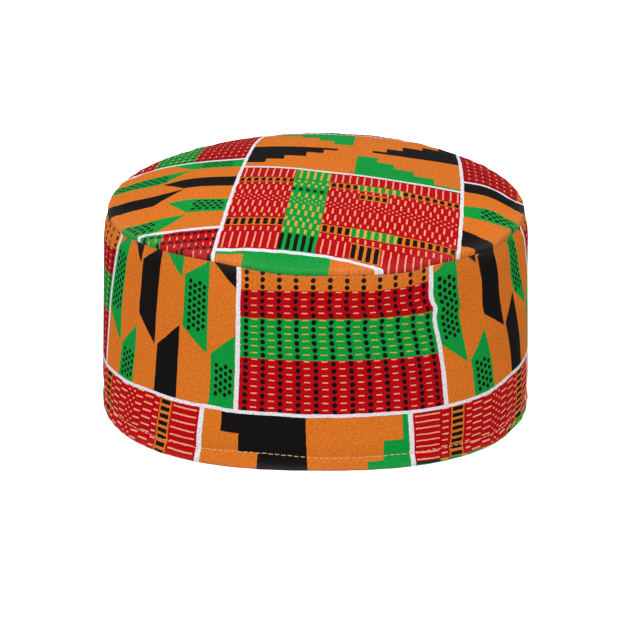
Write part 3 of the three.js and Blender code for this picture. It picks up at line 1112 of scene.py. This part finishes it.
def crown_panel():
    rows = []
    reach = fine_reach
    top_radius = wall_radius(WALL_TOP)
    for level in (-ALLOWANCE, -ALLOWANCE * 0.66, -ALLOWANCE * 0.33, -0.6):
        share = 1 + level / SEAM_HEIGHT
        radius = wall_radius(min(share, 0.975)) - WALL - GAP
        rows.append((ring(radius, fine_seam + level), "fold"))
    lip_height = crown_top_height(0.965, reach)
    fall = (crown_top_height(0.92, reach) - lip_height) * 0.03 / 0.045
    foot = WALL_TOP * fine_seam + 0.14
    edge = top_radius
    rows.append((ring(edge - 0.2, foot), "fold"))
    for turn in (-60, -30, 0, 25, 50, 75):
        lean = math.radians(turn)
        depth = np.maximum(lip_height - fall - foot, 0.5) * 0.5
        inset = 0.12 * (1 - math.cos(lean)) if turn < 0 else 0.8 * (1 - math.cos(lean))
        height = foot + depth * (1 + math.sin(lean))
        rows.append((ring(edge - inset, height), "top"))
    for out in np.concatenate([np.linspace(0.975, 0.9, 9), np.linspace(0.885, 0.03, 58)]):
        rows.append((ring(out * reach, crown_top_height(out, reach)), "top"))
    last_top = len(rows)
    for out in (0.03, 0.15, 0.3, 0.45, 0.6, 0.72, 0.82, 0.9, 0.95):
        height = crown_top_height(out, reach) - PANEL
        rows.append((ring(np.minimum(out * reach, top_radius - WALL - GAP - PANEL), height), "under"))
    for level in (-1.0, -ALLOWANCE * 0.33, -ALLOWANCE * 0.66, -ALLOWANCE):
        share = 1 + level / SEAM_HEIGHT
        radius = wall_radius(min(share, 0.975)) - WALL - GAP - PANEL
        rows.append((ring(radius, fine_seam + level), "under"))
    points = np.stack([rolled(row[0]) for row in rows])

    def cloth_at(k):
        here = with_first(points[k % len(rows)])
        return crown_cloth(here[:, 0], here[:, 1])

    cloth, dashes = cloth_tables(len(rows), cloth_at)
    faces = grid_faces(len(rows), COLUMNS, True)
    kept = np.ones(len(faces), bool)
    kept[(last_top - 1) * COLUMNS : last_top * COLUMNS] = False
    laid = np.zeros((len(rows), COLUMNS, 4, 2))
    lengths = lengths_down(with_first(points))
    over = disc_places(points, list(range(last_top - 1, 3, -1)), (97, 98), 1.0)
    disc_corners(laid, over, (4, last_top - 1))
    below = disc_places(points, list(range(last_top, last_top + 9)), (246, 52), 0.5)
    disc_corners(laid, below, (last_top, last_top + 8))
    reached = strip_corners(laid, lengths, (0, 4), 0.6, 198, 110, 1)
    strip_corners(laid, lengths, (last_top + 8, len(rows)), 0.6, 198, reached, 1)
    charts = {}
    for chart_name, table in (("Cloth", cloth), ("ClothDashes", dashes)):
        charts[chart_name] = [grid_chart(table).reshape(-1, 4, 2)[kept].reshape(-1, 2) * MM]
    charts["OFBake"] = [laid.reshape(-1, 4, 2)[kept].reshape(-1, 2) / BAKE_SQUARE]
    face_list = faces[kept].tolist()
    corners = points.reshape(-1, 3).tolist()
    sides = [0 if row[1] in ("top", "fold") else 1 for row in rows]
    sides = np.repeat(sides, COLUMNS)[kept].tolist()
    wear = []
    for row in rows:
        edge = row[0][:, 2] - fine_seam
        wear.append(rolled(bell(edge - 1.0, 1.0)) if row[1] == "top" else np.zeros(COLUMNS))
    wear = np.concatenate(wear).tolist()
    middle = crown_cloth(np.array([0.0]), np.array([-WIDEST_PLACE]))
    tables = {"Cloth": (cloth, middle[0][0]), "ClothDashes": (dashes, middle[1][0])}
    for ring_number, facing, side, places, spot in (
        (last_top - 1, 1, 0, over, (97, 98)),
        (last_top, -1, 1, below, (246, 52)),
    ):
        first = ring_number * COLUMNS
        number = len(corners)
        corners.append([0.0, -WIDEST_PLACE, float(points[ring_number, :, 2].mean())])
        wear.append(0.0)
        laid_ring = np.concatenate([places[ring_number], places[ring_number][:1]])
        for column in range(COLUMNS):
            here = first + column
            there = first + (column + 1) % COLUMNS
            face_list.append([here, there, number] if facing > 0 else [there, here, number])
            sides.append(side)
            for chart_name, (table, along) in tables.items():
                near = table[ring_number, column]
                far = table[ring_number, column + 1]
                centre_pair = np.array([along, middle[2][0]])
                trio = [near, far, centre_pair] if facing > 0 else [far, near, centre_pair]
                charts[chart_name].append(np.array(trio) * MM)
            near = laid_ring[column]
            far = laid_ring[column + 1]
            trio = [near, far, spot] if facing > 0 else [far, near, spot]
            charts["OFBake"].append(np.array(trio) / BAKE_SQUARE)
    charts = {name: np.concatenate(parts) for name, parts in charts.items()}
    piece = mesh_piece("crown_panel_cloth", corners, face_list, charts, sides, wear, cloth_materials)
    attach(piece, "root")
    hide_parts("crown_panel")
    return piece


side_band()
hem_turn_up()
crown_panel()


# The hem's stitching


def thread_material():
    material, shader, sheet = new_material("stitch_thread")
    spots = sheet.noise(420.0)[0]
    mixed = sheet.paint((0.78, 0.36, 0.14), (0.95, 0.70, 0.50), spots)
    sheet.tree.links.new(mixed, shader.inputs["Base Color"])
    rough = sheet.math("MULTIPLY_ADD", spots, 0.15, 0.6)
    sheet.tree.links.new(rough, shader.inputs["Roughness"])
    shader.inputs["Specular IOR Level"].default_value = 0.2
    return material


def hem_stitching():
    """Short stitches round the hem, outside on the wall and inside on the turned-up hem."""
    chance = np.random.default_rng(17)
    levels = np.linspace(0.03, 0.12, 19)
    table = np.stack([wall_radius(level) for level in levels])
    count = round(whole_round / STITCH_PITCH)
    turns = np.linspace(0, 2 * math.pi, 7)[:-1]
    order = np.argsort(arc_of_column)
    sorted_arcs = arc_of_column[order]
    sorted_angles = np.unwrap(angles[order])
    corners = []
    faces = []
    for side in ("outside", "inside"):
        for number in range(count):
            middle = -whole_round / 2 + (number + (0.5 if side == "outside" else 0.0)) * STITCH_PITCH
            length = STITCH_PITCH * chance.uniform(0.66, 0.8)
            lift = chance.uniform(-0.12, 0.12)
            tilt = chance.uniform(-0.14, 0.14)
            start = len(corners)
            for k, share in enumerate((-0.5, -0.42, -0.2, 0.05, 0.25, 0.43, 0.5)):
                arc = middle + share * length
                angle = np.interp(arc, sorted_arcs, sorted_angles)
                level = from_table(STITCH_LINE, np.array([arc]))[0, 0] + lift + tilt * share
                column = (angle / (2 * math.pi) * COLUMNS) % COLUMNS
                low = int(column) % COLUMNS
                seam = fine_seam[low]
                here = np.interp(level / seam, levels, table[:, low])
                there = np.interp(level / seam, levels, table[:, (low + 1) % COLUMNS])
                away = here + (there - here) * (column - int(column))
                bow = 0.16 * (1 - (2 * share) ** 2)
                if side == "outside":
                    away = away - 0.02 + bow
                else:
                    away = away - WALL - GAP - HEM + 0.3 - bow
                thick = 0.17 if 0 < k < 6 else 0.08
                for turn in turns:
                    spread = away + thick * 0.8 * math.cos(turn)
                    corners.append(
                        (
                            spread * math.cos(angle),
                            spread * math.sin(angle) - WIDEST_PLACE,
                            level + thick * math.sin(turn),
                        )
                    )
            for k in range(6):
                for j in range(6):
                    first = start + k * 6 + j
                    second = start + k * 6 + (j + 1) % 6
                    faces.append((first, second, second + 6, first + 6))
            faces.append(tuple(start + j for j in reversed(range(6))))
            faces.append(tuple(start + 36 + j for j in range(6)))
    mesh = bpy.data.meshes.new("hem_stitching")
    mesh.from_pydata((np.array(corners) * MM).tolist(), [], faces)
    mesh.polygons.foreach_set("use_smooth", np.ones(len(faces), bool))
    mesh.materials.append(thread_material())
    mesh.update()
    piece = bpy.data.objects.new("hem_stitching", mesh)
    bpy.context.scene.collection.objects.link(piece)
    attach(piece, "root")
    return piece


hem_stitching()


# Floor, light and camera


def plain_material(name, colour, glow):
    material, shader, sheet = new_material(name)
    amount = sheet.math("MULTIPLY_ADD", sheet.noise(3.0)[0], 0.05, 0.85)
    sheet.tree.links.new(amount, shader.inputs["Roughness"])
    shader.inputs["Base Color"].default_value = (*colour, 1)
    shader.inputs["Emission Color"].default_value = (1, 1, 1, 1)
    shader.inputs["Emission Strength"].default_value = glow
    return material


def floor():
    half = 30.0
    mesh = bpy.data.meshes.new("floor")
    corners = [(-half, -half, 0), (half, -half, 0), (half, half, 0), (-half, half, 0)]
    mesh.from_pydata(corners, [], [(0, 1, 2, 3)])
    mesh.materials.append(plain_material("pale_floor", (0.93, 0.93, 0.93), 0.9))
    piece = bpy.data.objects.new("floor", mesh)
    bpy.context.scene.collection.objects.link(piece)
    piece.visible_diffuse = False
    piece.visible_glossy = False


def soft_light(name, place, aim, size, power):
    data = bpy.data.lights.new(name, "AREA")
    data.shape = "DISK"
    data.size = size
    data.energy = power
    light = bpy.data.objects.new(name, data)
    light.location = place
    light.rotation_euler = (Vector(aim) - Vector(place)).to_track_quat("-Z", "Y").to_euler()
    bpy.context.scene.collection.objects.link(light)


floor()
soft_light("front_light", (-1.3, -1.9, 1.5), (0, 0, 0.05), 1.8, 29)
soft_light("side_light", (1.7, -1.3, 1.1), (0, 0, 0.05), 1.4, 10)
soft_light("top_light", (0, 0.5, 2.4), (0, 0, 0.05), 2.0, 14)

world = bpy.data.worlds.new("studio")
world.use_nodes = True
world.node_tree.nodes["Background"].inputs["Color"].default_value = (1, 1, 1, 1)
world.node_tree.nodes["Background"].inputs["Strength"].default_value = 0.55
bpy.context.scene.world = world
bpy.context.scene.view_settings.view_transform = "Standard"

camera_data = bpy.data.cameras.new("camera")
camera_data.sensor_width = 36.0
camera_data.lens = 188.2
camera_data.clip_start = 0.05
camera = bpy.data.objects.new("camera", camera_data)
camera_place = Vector((0, -1.3551, 0.5407))
camera_aim = Vector((0.00188, -0.0102, 0.0328))
turn = (camera_aim - camera_place).to_track_quat("-Z", "Y").to_matrix().to_4x4()
camera.matrix_world = Matrix.Translation(camera_place) @ turn @ Matrix.Rotation(math.radians(0.33), 4, "Z")
bpy.context.scene.collection.objects.link(camera)
bpy.context.scene.camera = camera
